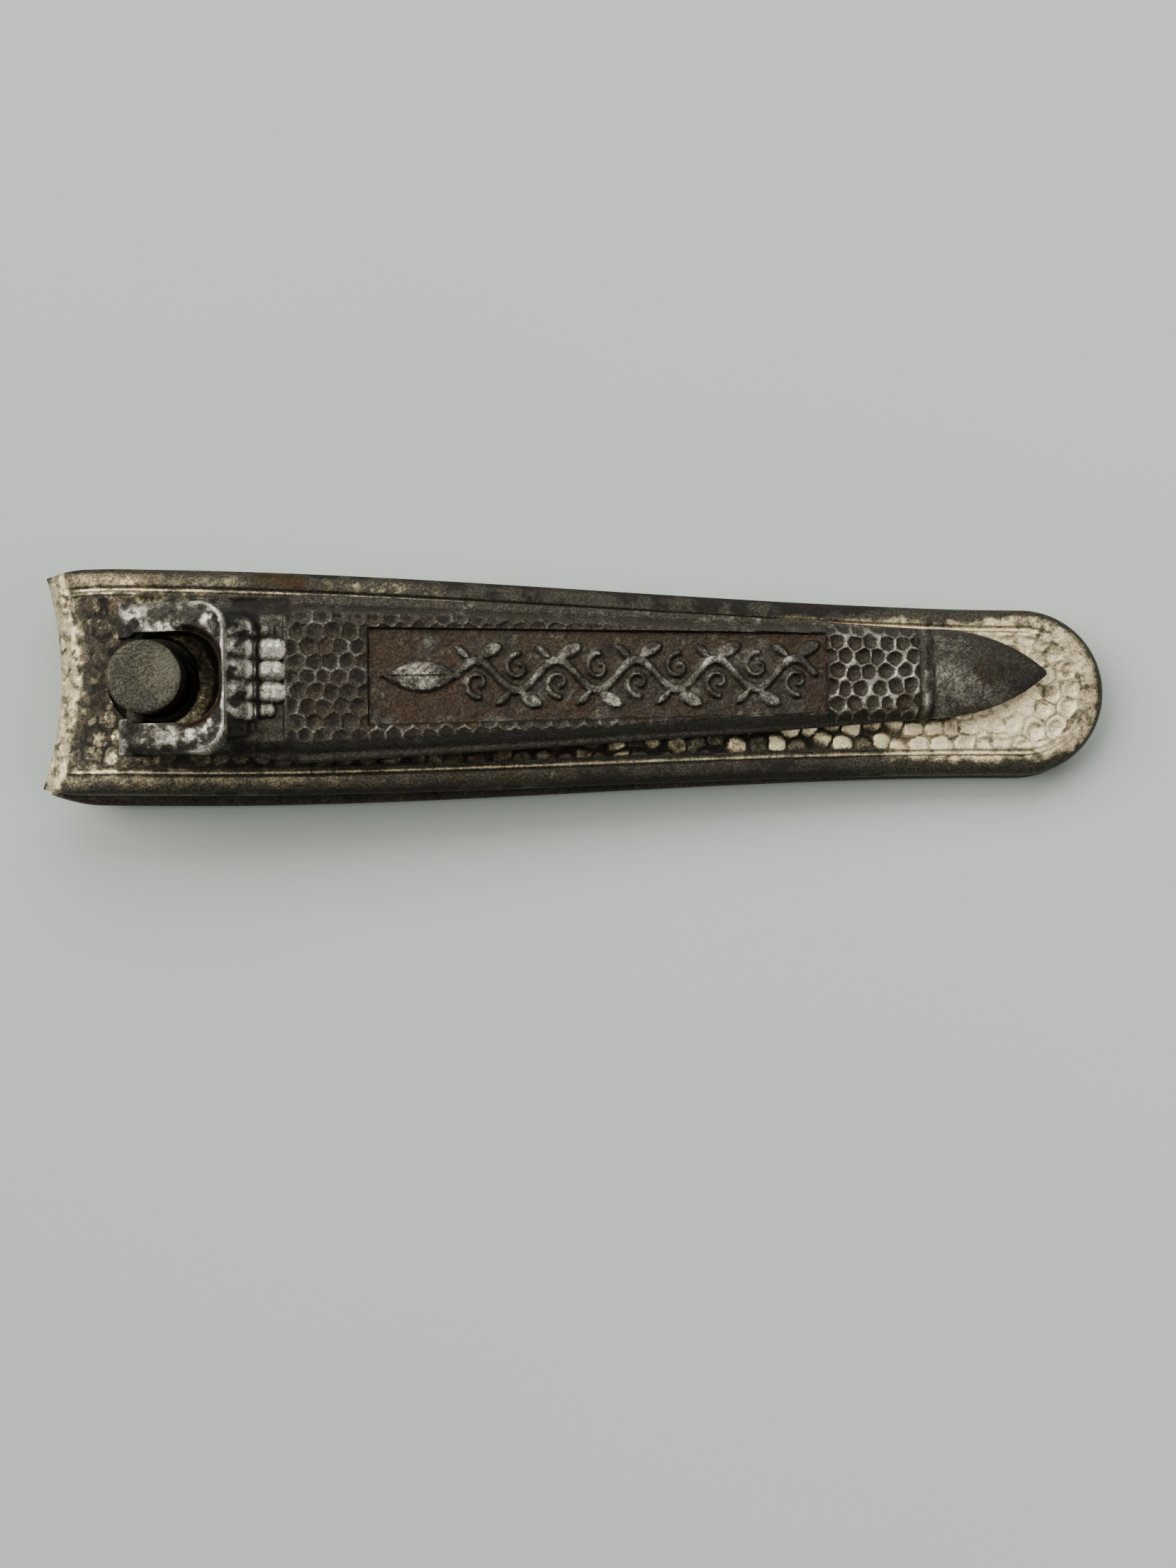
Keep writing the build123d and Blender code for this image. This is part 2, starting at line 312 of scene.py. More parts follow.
class Arm:
    """Plan and section of an arm, drawn flat with its outer face down and its jaw bent up."""

    def __init__(self, half, tail_half, tip_half, front_x):
        self.half, self.tail_half, self.tip_half, self.front_x = half, tail_half, tip_half, front_x
        self.tail_centre = TAIL_X - tail_half
        self.edge_r = (tip_half**2 + EDGE_SAGITTA**2) / (2 * EDGE_SAGITTA)
        self.edge_x = front_x - math.sqrt(self.edge_r**2 - tip_half**2)

    def width(self, x):
        """Half-width of the outline."""
        t = np.clip((x - self.front_x) / CORNER_LENGTH, 0, 1)
        corner = (self.half - self.tip_half) * (1 - t) ** 2
        taper = (self.half - self.tail_half) * ease(TAPER_START_X, self.tail_centre, x)
        return self.half - corner - taper

    def inset(self, x, y):
        """Distance in from the outline, but not from the cutting edge."""
        slope = (self.width(x + 0.05) - self.width(x - 0.05)) / 0.1
        side = (self.width(x) - np.abs(y)) / np.sqrt(1 + slope**2)
        tail = self.tail_half - np.hypot(x - self.tail_centre, y)
        return np.where(x < self.tail_centre, side, tail)

    def setback(self, x, y):
        """Distance back from the cutting edge."""
        return np.hypot(x - self.edge_x, y) - self.edge_r

    def grid(self):
        """Plan positions x and y as [row, column]; the last rows fan round the tail."""
        jaw_step, strip_step = 0.07, 0.115
        fine = np.arange(self.front_x, self.front_x + JAW_REACH, jaw_step)
        even = np.arange(self.front_x + JAW_REACH, self.tail_centre, strip_step)
        stations = np.append(np.concatenate([fine, even]), self.tail_centre)
        core = np.linspace(0, 1, 40)[:-1]
        step = np.linspace(math.pi / 2, 0, 10)
        depth = np.concatenate([[BAND, 1.6], np.linspace(1.5, RIM_A, 15)[:-1], RIM_A * (1 - np.cos(step))])
        width = self.width(stations)[:, None]
        across = np.concatenate([(width - BAND) * core, width - depth], 1)
        across = np.concatenate([-across[:, :0:-1], across], 1)
        curve = 1 - ease(-10, 15, stations)[:, None]
        edge_line = np.sqrt(self.edge_r**2 - across**2) - np.sqrt(self.edge_r**2 - width**2)
        x = stations[:, None] + curve * edge_line
        turn = np.linspace(math.pi / 2, 0, 64)[1:]
        fan_x = self.tail_centre + np.outer(np.cos(turn), np.abs(across[-1]))
        fan_y = np.outer(np.sin(turn), across[-1])
        return np.concatenate([x, fan_x]), np.concatenate([across, fan_y])

    def surfaces(self, relief):
        """The grid and the heights of the outer and inner faces, with the outer face's relief."""
        x, y = self.grid()
        q, d = self.setback(x, y), self.inset(x, y)
        thick = inner_face(q) - outer_face(q)
        outer = outer_face(q) + rounding(d, RIM_A) * np.minimum(RIM_B, 0.45 * thick) + relief(x, y, q, d)
        inner_x = x + EDGE_LAND * (1 - ease(0, 3, q))
        inner_q = np.maximum(self.setback(inner_x, y), EDGE_LAND)
        inner = inner_face(inner_q) - rounding(d, INNER_EDGE) * np.minimum(INNER_EDGE, 0.3 * thick)
        return x, y, outer, inner_x, inner


def border_groove(d):
    """Two fine grooves with a ridge between them."""
    return 0.075 * hump(d, BORDER - 0.1, 0.11) + 0.05 * hump(d, BORDER + 0.17, 0.1)


def hammered(x, y, seed):
    """Hammer marks: height from 0 in the crevices to 1 on the crowns, distance from the middle, and a
    number per mark."""
    pitch, jitter, plain_from_x = 1.12, 0.5, 19
    warp_x = x + 0.12 * noise(x, y, 1.3, seed + 7)
    warp_y = y + 0.12 * noise(x, y, 1.3, seed + 8)
    nearest, second, pick = cells(warp_x, warp_y, pitch, jitter, seed)
    gap = second - nearest
    blob = ease(0.57, 0.36, nearest + 0.06 * noise(x, y, 0.3, seed + 9)) * ease(0.0, 0.2, gap)
    return np.where(x < plain_from_x, blob, ease(0.0, 0.3, gap)), nearest, pick


def field_mask(q, d):
    """Where the hammered field is: inside the border and behind the jaw's crease."""
    return ease(BORDER + 0.3, BORDER + 0.55, d) * ease(1.3, 2.2, q)


def upper_relief(x, y, q, d):
    """Depth of the upper arm's hammering, engraving, crease, crust and dents below its outer face."""
    crown, nearest, pick = hammered(x, y, UPPER_SEED)
    shallow = ease(*SHALLOW, x)
    front = ease(-17, -20, x)
    pebble = (1 - crown) * 0.13 * (1 - 0.8 * shallow) + nearest**2 * 0.24 * (1 - shallow)
    dish = 0.075 * shallow * ease(0.44, 0.22, nearest) * (0.5 + pick)
    tail_fade = 1 - 0.85 * ease(23, 25.5, x) * ease(4.0, 2.8, np.abs(y))
    line = border_groove(d) * ease(0.9, 1.6, q) * tail_fade
    crease = 0.09 * hump(q + 0.25 * noise(x, y, 2.5, 31), 1.35, 0.55) * ease(0.5, 1.6, d)
    crust = 0.08 * fractal(x, y, 0.5, 33) * ease(1.0, 1.8, q) * front * ease(BORDER + 0.2, BORDER + 0.6, d)
    beaten = 0.07 * fractal(x, y, 0.5, 35) + 0.08 * fractal(x, y, 0.27, 37, 2)
    beaten *= ease(1.7, 1.0, q) * ease(0, 0.4, d)
    dents = 0.02 * (fractal(x, y, 0.9, 41) + 1) * ease(0.1, 0.6, d)
    pits = 0.018 * fractal(x, y, 0.32, 43, 2) * ease(0.1, 0.4, d)
    nicks = 0.03 * ease(0.35, 0.75, noise(x, y, 0.7, 51)) * ease(0.05, 0.4, d)
    bur = 0.07 * hump(np.hypot(x - POST_AT.x + 0.24, y), ARM_HOLE_R + 0.38, 0.34)
    hammer = field_mask(q, d) * (pebble * (1 - 0.85 * front) + dish) - bur
    return hammer + line + crease + crust + beaten + dents + pits + nicks


def lower_relief(x, y, q, d):
    """Depth of the lower arm's marks below its flat outer face."""
    crown, _, _ = hammered(x, y, LOWER_SEED)
    line = border_groove(d) * ease(0.9, 1.6, q)
    return field_mask(q, d) * (1 - crown) * 0.07 + line + 0.01 * (fractal(x, y, 1.4, 81) + 1)


def raise_arm(x, n):
    """Places a point of the upper arm: x along the flat strip, n above its lower face."""
    along = x - HINGE_X
    rise = math.sin(TILT) * 0.5 * (np.sqrt(along**2 + 0.6) - along)
    front = 1 - ease(-BEND, BEND, along)
    place_x = HINGE_X + np.minimum(along, 0) * math.cos(TILT) + np.maximum(along, 0)
    place_x += n * math.sin(TILT) * front
    return place_x, STRIP + rise + n * (1 - front * (1 - math.cos(TILT)))


def flatten_arm(x, z):
    """The reverse of raise_arm, near enough for painting."""
    front = 1 - ease(-BEND, BEND, x - HINGE_X)
    n_front = (x - HINGE_X) * math.sin(TILT) + (z - STRIP) * math.cos(TILT)
    n = n_front * front + (z - STRIP) * (1 - front)
    along = (x - HINGE_X - n * math.sin(TILT) * front) / (1 - front * (1 - math.cos(TILT)))
    return HINGE_X + along, n


def arm_shapes():
    """The plan and section of the upper and the lower arm."""
    tip = (FRONT_X - HINGE_X + JAW_DROP * math.sin(TILT)) / math.cos(TILT)
    return (Arm(half=5.95, tail_half=4.5, tip_half=5.62, front_x=HINGE_X + tip),
            Arm(half=6.4, tail_half=4.62, tip_half=5.86, front_x=FRONT_X))


def make_upper_arm(arm):
    x, y, outer, inner_x, inner = arm.surfaces(upper_relief)
    top_x, top_z = raise_arm(x, STRIP - outer)
    under_x, under_z = raise_arm(inner_x, STRIP - inner)
    item = sheet_solid("upper_arm_strip", (top_x, y, top_z), (under_x, y, under_z))
    r, edge = ARM_HOLE_R, 0.16
    hole = [(0, -4), (r, -4), (r, -edge), (r + edge, 0.02), (r + edge + 0.3, 0.3), (0, 0.3)]
    carve(item, lathe("hole", hole, 160, POST_PLACE))
    r, head, ledge = RIVET_R + RIVET_GAP, RIVET_HEAD_R + RIVET_GAP, 2 * STRIP - RIVET_HEAD_T - 0.06
    seat = [(0, 0), (r, 0), (r, ledge), (head, ledge), (head, 4), (0, 4)]
    carve(item, lathe("rivet_seat", seat, 64, RIVET_PLACE))
    return item


def make_lower_arm(arm):
    x, y, outer, inner_x, inner = arm.surfaces(lower_relief)
    item = sheet_solid("lower_arm_strip", (inner_x, y, inner), (x, y, outer))
    seat = POST_UNDER_N + POST_HEAD_T + 0.05
    boss = [(0, seat - 0.2), (3.2, seat - 0.2), (4.0, seat - 0.05), (3.75, seat + 0.45), (3.3, seat + 0.7),
            (0, seat + 0.75)]
    carve(item, lathe("boss", boss, 96, POST_PLACE), "UNION")
    r, low = POST_R + POST_GAP, POST_UNDER_N - 2
    hole = [(0, seat - 1), (r, seat - 1), (r, 0), (0, 0)]
    carve(item, lathe("hole", hole, 96, POST_PLACE))
    cup = [(0, low), (POST_HEAD_R + 0.25, low), (POST_HEAD_R + POST_GAP, seat), (0, seat)]
    carve(item, lathe("cup", cup, 96, POST_PLACE))
    r, head, t = RIVET_R, RIVET_HEAD_R, RIVET_HEAD_T
    rivet = [(0, -1), (head, -1), (head, t), (r, t), (r, 3), (0, 3)]
    carve(item, lathe("rivet_seat", rivet, 64, RIVET_PLACE))
    return item


def paint_arm(item, arm, upper):
    """Bare, dirty and rusty parts of an arm, with painted highlights and painted shade."""
    p = points_of(item)
    x, y, z = p.T
    if upper:
        x, n = flatten_arm(x, z)
        z = STRIP - n
    q, d = arm.setback(x, y), arm.inset(x, y)
    outside = ease(0.75, 0.5, z - outer_face(q))
    crown, nearest, pick = hammered(x, y, UPPER_SEED if upper else LOWER_SEED)
    field = field_mask(q, d)
    crowns = field * ease(0.3, 0.8, crown)
    rough = fractal(x, y, 2.4, 61)
    fine = fractal(x, y, 0.75, 65)
    spots = fractal(x, y, 0.4, 67, 2)
    tail = ease(13, 21, x + 2.5 * rough - 0.2 * y + 5 * hump(d, 1.0, 0.6) * ease(0, 2, y))
    nose = ease(1.25, 0.8, q + 0.35 * rough + 0.2 * fine) * (1.0 if upper else 0.35)
    front = ease(-19, -24, x + 2 * rough)
    line = hump(d, BORDER + 0.04, 0.13) * ease(1.0, 2.0, q)
    rim = ease(BORDER - 0.1, BORDER - 0.3, d)
    near, far = ease(0, -1, y), ease(0, 1, y)
    near_rim, far_rim = rim * near, rim * far
    not_tail, not_nose = 1 - tail, 1 - nose
    rust_x = x + 1.6 * rough + 1.2 * fine
    # Near-side hammer crowns, picked at random, that are painted as lit.
    lit = near * ease(-6, 14, x) * ease(0.42 - 0.5 * ease(6, 18, x), 0.6, pick + 0.2 * fine)
    dish = ease(0.44, 0.22, nearest) * ease(*SHALLOW, x)

    wear_and_light = 0.12 + (0.22 * rough + 0.25 * fine) * (1 - 0.45 * rim * not_nose)
    wear_and_light += nose * (0.86 - 0.75 * ease(-0.35, 0.5, fractal(x, y, 0.3, 69)) - 0.3 * ease(0, 0.5, spots))
    wear_and_light += front * (0.14 + 0.42 * ease(-0.1, 0.5, spots + 0.4 * fine)) * (1 - 0.75 * rim)
    # A bare band along the front of the near rim's rounded crest: wear and a painted highlight.
    wear_and_light += near_rim * 0.24 * hump(d, 0.85, 0.5) * ease(-6, -20, x)
    wear_and_light += near_rim * 0.2 * ease(0.1, 0.5, spots) * hump(x, 0, 9)
    far_wear = 0.22 * ease(-14.5, -17, x + rough) + 0.4 * hump(x, -10, 8) * ease(-0.1, 0.5, spots)
    wear_and_light += far_rim * (hump(d, 0.65, 0.6) * far_wear - 0.7 * hump(rust_x, RUST_X, 2.4))
    wear_and_light += 0.5 * line * (1 - 0.7 * ease(23, 26, x))
    # Crowns on the near side are painted bare: painted highlights on lit crowns, as well as wear.
    wear_and_light += crowns * (0.9 * lit * (0.65 + 0.35 * ease(0.2, -0.3, spots)) + 0.15 * tail)
    wear_and_light += crowns * 0.12 * near * not_tail
    reach = 0.55 - 0.45 * ease(22, 26, x + 0.5 * y)
    polish = 0.7 + 0.3 * crown - 0.2 * ease(-0.1, 0.6, spots)
    wear_and_light += 0.62 * tail * ease(0, 0.4, d - reach + 0.3 * fine) * polish
    # The tail's dishes are painted darker: painted shade in the hollows, as well as less wear.
    wear_and_light -= tail * (0.2 * field * dish * (0.4 + pick) + 0.3 * (1 - field) * ease(-0.2, 0.9, spots + fine))
    # Less bare on the rims toward the middle, and along the very outline behind the jaw.
    wear_and_light -= 0.2 * rim * ease(-12, -4, x) * not_tail + 0.5 * ease(0.3, 0.1, d) * ease(1, 3, q)

    grime_and_shade = 0.28 + 0.4 * rough + 0.5 * fine
    grime_and_shade += field * (1 - crown) * (0.72 - 0.5 * ease(19, 23, x)) * (1 - 0.4 * front)
    # Lit crowns are painted clean, part of their painted highlight.
    grime_and_shade -= 0.75 * tail + 1.1 * nose + 0.15 * rim + lit * crown * field
    grime_and_shade += 0.6 * hump(q + 0.5 * rough, 2.3, 1.7) * ease(1.2, 2.2, d) * ease(-0.6, 0.1, spots)
    grime_and_shade += 0.5 * hump(d, BORDER - 0.1, 0.1) * (1 - 0.6 * tail)
    grime_and_shade += 0.5 * hump(d, BORDER + 0.32, 0.1) * not_tail
    # Darker along the very outline except at the nose; along the near rim's outer edge the darkening is
    # painted shade, where the rim rolls down away from the lights.
    grime_and_shade += 0.45 * ease(0.28, 0.05, d) * not_nose + 0.3 * rim * ease(-8, 10, x) * not_tail
    grime_and_shade += 0.4 * near_rim * ease(0.5, 0.2, d) * ease(-24, -18, x)
    grime_and_shade += 0.35 * far_rim * ease(-17, -13, rust_x) * not_tail
    grime_and_shade -= 0.3 * rim * ease(-8, -18, x) * ease(0.3, 0.6, d)

    rust = 0.25 + 0.5 * fractal(x, y, 3.1, 91) + 0.9 * far_rim * hump(rust_x, RUST_X, 2.6)
    rust += 0.25 * field * not_tail - 0.4 * tail - 0.3 * nose
    if upper:
        u, v, _ = transform(p, POST_PLACE.inverted()).T
        r = np.hypot(u, v)
        # Under the lever's fork the arm is painted dark, a painted shadow, and the lip of the post's hole
        # is painted light, a painted highlight where light falls on it.
        shade_under_fork = ease(2.6, 2.2, np.abs(v)) * ease(-1.5, 0, u) * ease(5, 4.5, u)
        lip = ease(ARM_HOLE_R - 0.05, ARM_HOLE_R + 0.1, r) * ease(ARM_HOLE_R + 0.95, ARM_HOLE_R + 0.7, r)
        wear_and_light += shade_under_fork * (0.5 * lip - 0.35)
        grime_and_shade += shade_under_fork * (0.8 - 1.5 * lip)
    else:
        # The lower arm's rim is painted darker and less bare: painted shade in the gap under the upper
        # arm's rim.
        wear_and_light -= 0.3 * rim * not_nose
        grime_and_shade += 0.15 * rim * not_nose
    inside = 1 - outside
    wear_and_light = wear_and_light * outside + inside * (0.08 + 0.2 * rough + 0.1 * fine)
    grime_and_shade = grime_and_shade * outside + inside * (0.45 + 0.35 * rough + 0.2 * fine)
    paint(item, wear_and_light, grime_and_shade, rust, np.maximum(0.5 * tail, 0.65 * rim))


# ---- the lever
WALL = 0.7  # width in plan of the raised box's side wall
LOBE_PITCH, FIRST_LOBE_V, LOBES_MIDDLE_V = 1.075, -1.75, 0.35
BEADS = (  # middle across, half-width and height of each bead of the crown
    (0.29, 0.6, 0.5), (1.42, 0.66, 0.48), (-0.8, 0.58, 0.48), (-1.72, 0.4, 0.36), (2.42, 0.42, 0.22))


def lever_half(u):
    """Half-width of the lever's outline."""
    start = BODY_U + 1
    fork = np.interp(u, [CREST_U, start], [FORK_HALF, BODY_HALF])
    body = bezier(np.clip((u - start) / (RING_END_U - start), 0, 1), BODY_HALF, 3.6, NECK_HALF)
    t = np.linspace(0, 1, 200)
    tip_u = bezier(t, RING_END_U, TIP_U - 3, TIP_U - 1, TIP_U)
    tip = np.interp(u, tip_u, bezier(t, NECK_HALF, NECK_HALF, 1.0, 0.15))
    return np.where(u < start, fork, np.where(u < RING_END_U, body, tip))


def panel_half(u):
    return np.interp(u, [PANEL_U, PANEL_END_U], [2.52, 2.1])


def flange_width(u):
    return np.interp(u, [CREST_U, BODY_U, 18, 27, 36, RING_END_U], [0.1, 0.42, 0.3, 0.25, 0.1, 0.02])


def ear_rise(u):
    """Half-height of the rounded ears, in front of the pin."""
    return np.sqrt(np.clip(EAR_R**2 - (u - PIN_U) ** 2, 0, None))


def lever_ridge(u):
    """Height along the middle of the lever's body and tip."""
    body = np.interp(u, [BODY_U, BLOCK_END_U], [2.0, 1.75])
    tip = bezier(np.clip((u - RING_END_U) / (TIP_U - RING_END_U), 0, 1), 1.85, 1.85, 0.95)
    return np.where(u < RING_END_U, body, tip)


def vine():
    """Centre lines of the panel's ornament: a pointed leaf, then a waving stem with curling shoots and
    leaves. Gives points along them and the half-width at each."""
    start, end = PANEL_U + 4.6, PANEL_END_U - 0.7
    swing, waves, shoots = 0.78, 4.5, 9
    t = np.linspace(0, 1, 1100)
    wave = np.sin(2 * math.pi * waves * t)
    walk = np.linspace(0, 1, 320)
    leaf = 0.95 * np.sin(math.pi * walk**1.3) * (1 - 0.35 * walk) + 0.05
    lines = [
        (start + (end - start) * t, swing * wave, 0.2 + 0.06 * wave**2),
        (PANEL_U + 0.7 + 3.9 * walk, np.zeros_like(walk), leaf),
    ]
    angle = 1.85 * math.pi * walk
    radius = 0.74 * (1 - 0.75 * walk)
    for k in range(shoots):
        base_u = start + (end - start) * (k + 0.5) / shoots
        side = 1 if k % 2 == 0 else -1
        lines.append((
            base_u + 0.1 - radius * np.sin(angle),
            side * (0.1 - radius * np.cos(angle) - 0.5),
            0.17 * (1 - 0.45 * walk) + 0.05 * ease(0.85, 1, walk),
        ))
        for from_u, reach, from_v, rise, droop, half in (
                (0.15, 1.15, 0.1, 1.1, 0.45, 0.34), (-0.35, -0.75, 0.05, 0.9, 0.2, 0.2)):
            lines.append((
                base_u + from_u + reach * walk,
                side * (swing + from_v + rise * walk - droop * walk**2),
                half * np.sin(math.pi * walk) ** 0.8 + 0.03,
            ))
    return [np.concatenate(part) for part in zip(*lines)]


def ornament(u, v):
    """1 on the ornament, 0 on the panel's ground, rounded at the edges."""
    line_u, line_v, line_half = vine()
    level = np.zeros(u.shape)
    inside = (u > PANEL_U) & (u < PANEL_END_U) & (np.abs(v) < 2.6)
    pu, pv = u[inside], v[inside]
    best = np.full(pu.shape, -9.0)
    order = np.argsort(pu)
    for k in range(len(line_u)):
        near = slice(*np.searchsorted(pu, [line_u[k] - 0.5, line_u[k] + 0.5], sorter=order))
        pick = order[near]
        gap = line_half[k] - np.hypot(pu[pick] - line_u[k], pv[pick] - line_v[k])
        best[pick] = np.maximum(best[pick], gap)
    level[inside] = ease(-0.06, 0.1, best)
    return level

def slope_lobes(v):
    """Roundness, 0 to 1, of the five lobes on the slope behind the crest."""
    place = np.clip(np.round((v - FIRST_LOBE_V) / LOBE_PITCH), 0, 4)
    off = (v - FIRST_LOBE_V - place * LOBE_PITCH) / (LOBE_PITCH / 2)
    return np.sqrt(np.clip(1 - off**2, 0, 1))


def crown_lobes(u, v):
    """Height of the crown of beads behind the crest."""
    total = np.zeros(u.shape)
    for middle, half, height in BEADS:
        reach = 0.72 if half > 0.45 else 0.45
        across = np.abs((v - middle) / half)
        along = (u - CROWN_U - 0.12 - reach) / reach
        along = np.where(along < 0, np.abs(along) * 0.96, along * (1 + 0.3 * across**2))
        dome = np.clip(1 - across**4 - np.abs(along) ** 4, 0, 1)
        tilt = 1 - 0.25 * across**2 - 0.12 * along
        dent = 0.06 * hump(u, CROWN_U + 0.12 + reach * (1.1 + middle / 9), 0.2)
        total = np.maximum(total, height * dome**0.4 * tilt - dent)
    return total


def plan_distance(u, v, end_u, half, corner):
    """Signed distance outside a strip in plan that ends at end_u with rounded corners."""
    du = u - (end_u - corner)
    dv = np.abs(v) - (half - corner)
    return np.hypot(np.maximum(du, 0), np.maximum(dv, 0)) + np.minimum(np.maximum(du, dv), 0) - corner


def window_distance(u, v):
    """Signed distance outside the fork's window."""
    return plan_distance(u, v, WINDOW_END_U, WINDOW_HALF, WINDOW_CORNER)


def block_distance(u, v):
    """Signed distance outside the fork block, whose rear end is the crest."""
    return plan_distance(u, v, CREST_U, BLOCK_HALF, BLOCK_CORNER)


def lever_top(u, v):
    """Height of the lever's upper surface, without the detail."""
    half = lever_half(u)
    d = half - np.abs(v)
    ridge = lever_ridge(u)
    shelf = 1.12 - 0.35 * ease(30, 44, u)
    flange = flange_width(u)
    body = shelf + (ridge - shelf) * ease(flange, flange + WALL, d) - 0.12 * rounding(d, 0.2)
    # the fork block slopes up to the crest and is rounded outside
    outside = block_distance(u, v)
    cam = np.interp(u, [PIN_U, CREST_U - 0.2], [PIN_N + EAR_R, CREST_N - 0.08])
    round_off = 0.6 * rounding(-outside, 0.7) * (1 - 0.75 * ease(2.4, 3.6, u))
    dents = 0.05 * fractal(u, v, 0.9, 131) * ease(-0.2, -0.6, outside)
    lip = 0.1 * hump(outside, -0.14, 0.24) * ease(1.6, 3.2, u)
    bevel = 0.5 * ease(0.34, 0.0, window_distance(u, v)) * ease(1.2, 2.4, u)
    block = cam - round_off + dents + lip - bevel
    # behind it come the slope with its lobes, the neck and the crown of beads
    fall = np.clip(outside, 0, 9)
    lobe = slope_lobes(v)
    slope = CREST_N - 0.3 - fall**0.85 + 0.34 * lobe * ease(0.1, 0.5, fall) + 0.05 * fractal(u, v, 0.5, 141)
    lobe_end = 0.98 + 0.34 * lobe
    neck = 1.62 + 0.02 * np.sin(9 * v)
    sides = ease(3.5, 3.0, np.abs(v - LOBES_MIDDLE_V))
    slope = neck + (slope - neck) * ease(lobe_end + 0.16, lobe_end - 0.04, fall) * sides
    beads = crown_lobes(u, v)
    rear = np.where(u > CROWN_U - 0.1, neck + 0.12 * ease(CROWN_U, CROWN_U + 0.4, u) + beads, slope)
    rear = shelf + (rear - shelf) * ease(flange - 0.05, flange + 0.55, d)
    ear = PIN_N + ear_rise(u) * (0.65 + 0.35 * ease(0, 0.6, d))
    low = np.where(u < PIN_U, ear, np.where(outside < 0, block, rear))
    blend = ease(BODY_U - 0.12, BODY_U + 0.02, u)
    whole = low * (1 - blend) + body * blend
    whole = np.where((beads > 0.02) & (u > BODY_U - 0.12), np.maximum(whole, neck + 0.12 + beads), whole)
    # the pointed tip is rounded across
    tip = ease(RING_END_U - 0.05, RING_END_U + 0.05, u)
    share = np.clip(np.abs(v) / np.maximum(half, 0.01), 0, 1)
    tip_shape = ridge - (1 - np.sqrt(1 - share**2)) * (ridge - 0.75) * 0.9
    return whole * (1 - tip) + tip_shape * tip


def lever_detail(u, v):
    """Honeycomb, sunk panel, ornament and ring: added height, and the masks that painting uses."""
    half = lever_half(u)
    d = half - np.abs(v)
    off_middle = np.abs(v)
    over_edge = 0.4 * ease(PANEL_END_U - 0.2, PANEL_END_U + 0.2, u)
    on_top = ease(0.35, -0.05, off_middle - (half - flange_width(u) - WALL) - over_edge)
    in_panel = ease(0, 0.1, u - PANEL_U) * ease(0, 0.1, PANEL_END_U - u)
    in_panel *= ease(-0.05, 0.05, panel_half(u) - off_middle)
    body = ease(BODY_U + 0.1, BODY_U + 0.3, u) * ease(BLOCK_END_U, BLOCK_END_U - 0.12, u)
    strip_fade = 1 - 0.8 * ease(18, 29, u) * ease(PANEL_END_U, PANEL_END_U - 0.3, u)
    honey = body * on_top * (1 - in_panel) * strip_fade
    nearest, second, pick = cells(u + 0.05 * noise(u, v, 0.8, 5), v, 0.9, 0.3, 3)
    gap = second - nearest
    block = ease(PANEL_END_U - 0.2, PANEL_END_U + 0.2, u)
    size = 0.5 + 0.06 * (pick - 0.5)
    round_web = np.maximum(ease(size - 0.12, size + 0.05, nearest), ease(0.24, 0.05, gap))
    web = ease(0.24, 0.02, gap) * (1 - block) + round_web * block
    depth = 0.07 + 0.08 * pick + 0.06 * block
    height = honey * (web * 0.025 - (1 - web) * depth * (0.45 + 0.55 * ease(0.5, 0.1, nearest)))
    pattern = ornament(u, v) * in_panel
    leaf = ease(PANEL_U + 0.9, PANEL_U + 1.3, u) * ease(PANEL_U + 4.4, PANEL_U + 3.9, u) * pattern
    vein = hump((u - 1.1 * off_middle) % 0.55, 0.275, 0.1) * ease(0.05, 0.2, off_middle) + hump(v, 0, 0.09)
    height += 0.24 * pattern - 0.07 * leaf * np.clip(vein, 0, 1)
    height += in_panel * (0.03 * fractal(u, v, 0.24, 17, 2) * (1 - 0.6 * pattern) - 0.27)
    border = hump(off_middle - panel_half(u), 0.06, 0.07) * body * ease(PANEL_U - 0.1, PANEL_U, u)
    height += 0.02 * border * ease(PANEL_END_U + 0.1, PANEL_END_U, u)
    ring = hump(u, (BLOCK_END_U + RING_END_U) / 2 - 0.08, 0.22)
    groove = hump(u, BLOCK_END_U - 0.03, 0.1) + hump(u, RING_END_U, 0.12)
    soft = 0.014 * fractal(u, v, 0.9, 23) + 0.008 * fractal(u, v, 0.3, 27, 2)
    height += (0.11 * ring - 0.1 * groove + soft) * ease(0, 0.3, d)
    return height, honey, web, in_panel, pattern, nearest


def lever_under(u, v):
    """Height of the lever's lower surface: hollow under the box, solid at the ears and the tip."""
    d = lever_half(u) - np.abs(v)
    base = np.interp(u, [PIN_U, PIN_U + 0.9, RING_END_U, TIP_U], [0.12, 0.3, 0.3, 0.62])
    base = np.where(u < PIN_U, PIN_N - ear_rise(u), base)
    room = ease(BODY_U - 0.6, BODY_U - 0.1, u) * ease(BLOCK_END_U - 0.6, BLOCK_END_U - 1.2, u)
    return base + ease(0.95, 1.25, d) * room * (0.95 - base)


